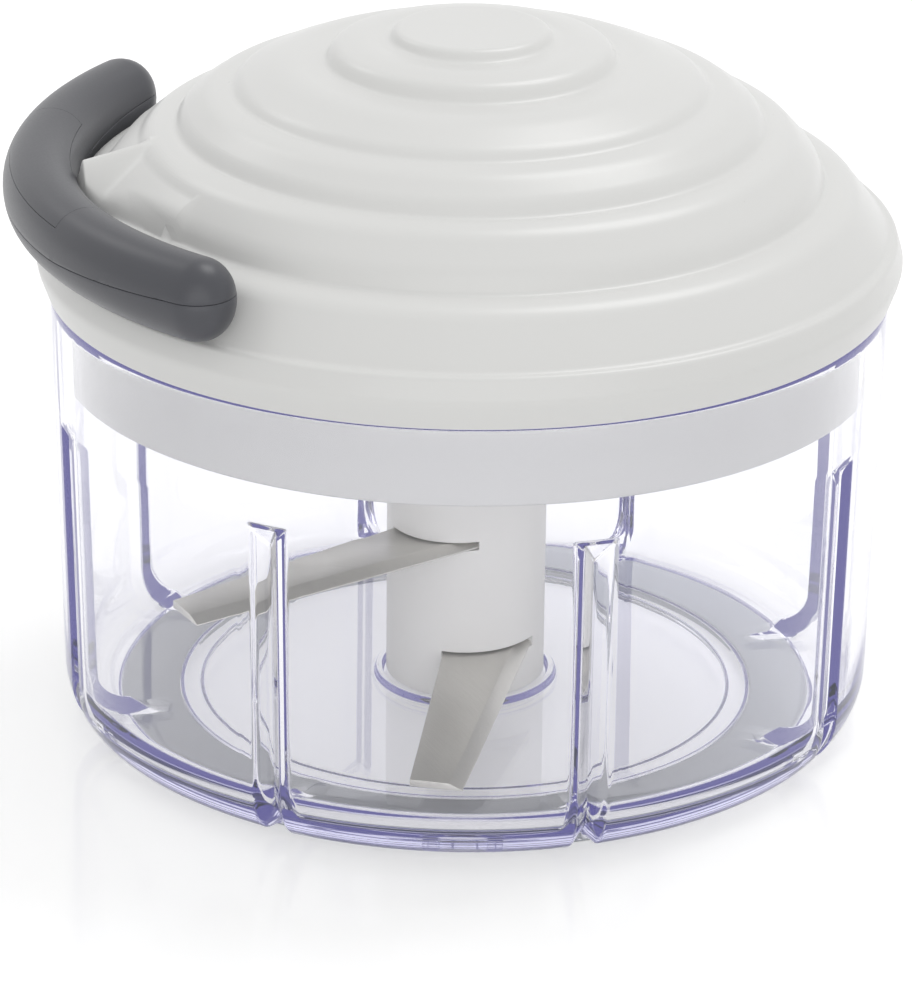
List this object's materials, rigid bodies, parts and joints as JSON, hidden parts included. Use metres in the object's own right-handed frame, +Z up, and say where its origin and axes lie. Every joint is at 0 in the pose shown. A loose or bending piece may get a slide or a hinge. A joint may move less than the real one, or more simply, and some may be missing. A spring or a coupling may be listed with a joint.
{
  "type": "pull cord food chopper",
  "caption": "Hand powered food chopper: clear fluted bowl, two level blade hub and a terraced white lid with a recoil drum, pulled by a cord with a curved grip.",
  "frame": {"origin": "middle of the whole object's footprint, at the height of the surface it stands on; the bowl's axis is 2.3 mm away along +X", "axes": "+Z up along the bowl's axis, +X away from the handle and nose, -X the way the cord is pulled"},
  "size_m": [0.1334, 0.1288, 0.1077],
  "materials": {
    "clear_plastic": "clear moulded plastic, polished, faint violet at the edges",
    "foot_rubber": "soft grey non-slip rubber, matte",
    "white_plastic": "warm white moulded plastic, satin gloss",
    "grey_plastic": "dark grey moulded plastic, fine satin texture",
    "blade_steel": "stainless steel sheet, lightly brushed, ground edge",
    "steel": "plain steel",
    "cord_fibre": "braided white cord"
  },
  "bodies": {
    "bowl": {"bowl": "clear_plastic", "foot_ring": "foot_rubber", "pivot_pin": "steel"},
    "lid": {"lid_dome": "white_plastic", "cord_eyelet": "white_plastic", "lid_cover": "white_plastic", "cover_bearing": "white_plastic", "cover_screw_1": "steel", "cover_screw_2": "steel", "cover_screw_3": "steel"},
    "drum": {"cord_drum": "white_plastic", "recoil_spring": "steel", "spring_cover": "white_plastic", "drive_coupler": "white_plastic", "thrust_washer": "steel", "cord_winding": "cord_fibre"},
    "handle": {"handle_upper": "grey_plastic", "handle_lower": "grey_plastic", "handle_centre_cover": "grey_plastic", "cord_knot": "cord_fibre", "pull_cord": "cord_fibre"},
    "blade_unit": {"blade_hub": "white_plastic", "hub_bush": "white_plastic", "lower_blade": "blade_steel", "upper_blade": "blade_steel"}
  },
  "joints": [
    {"name": "lid_lift", "type": "slide", "parent": "bowl", "child": "lid", "axis": [0, 0, 1], "range_m": [0, 0.06]},
    {"name": "handle_pull", "type": "slide", "parent": "lid", "child": "handle", "axis": [-1, 0, 0], "range_m": [0, 0.3], "stiffness_N_per_m": 15, "springref_m": -0.2, "deforming": ["pull_cord"]},
    {"name": "drum_spin", "type": "hinge", "parent": "lid", "child": "drum", "pos_m": [0.00228, 0, 0.0865], "axis": [0, 0, 1], "range_deg": [0, 790]},
    {"name": "blade_spin", "type": "hinge", "parent": "bowl", "child": "blade_unit", "pos_m": [0.00228, 0, 0.031], "axis": [0, 0, 1], "range_deg": [0, 790]}
  ],
  "couplings": [
    {"joint": "drum_spin", "follows": "handle_pull", "rad_per_m": 45.455},
    {"joint": "blade_spin", "follows": "handle_pull", "rad_per_m": 45.455}
  ]
}
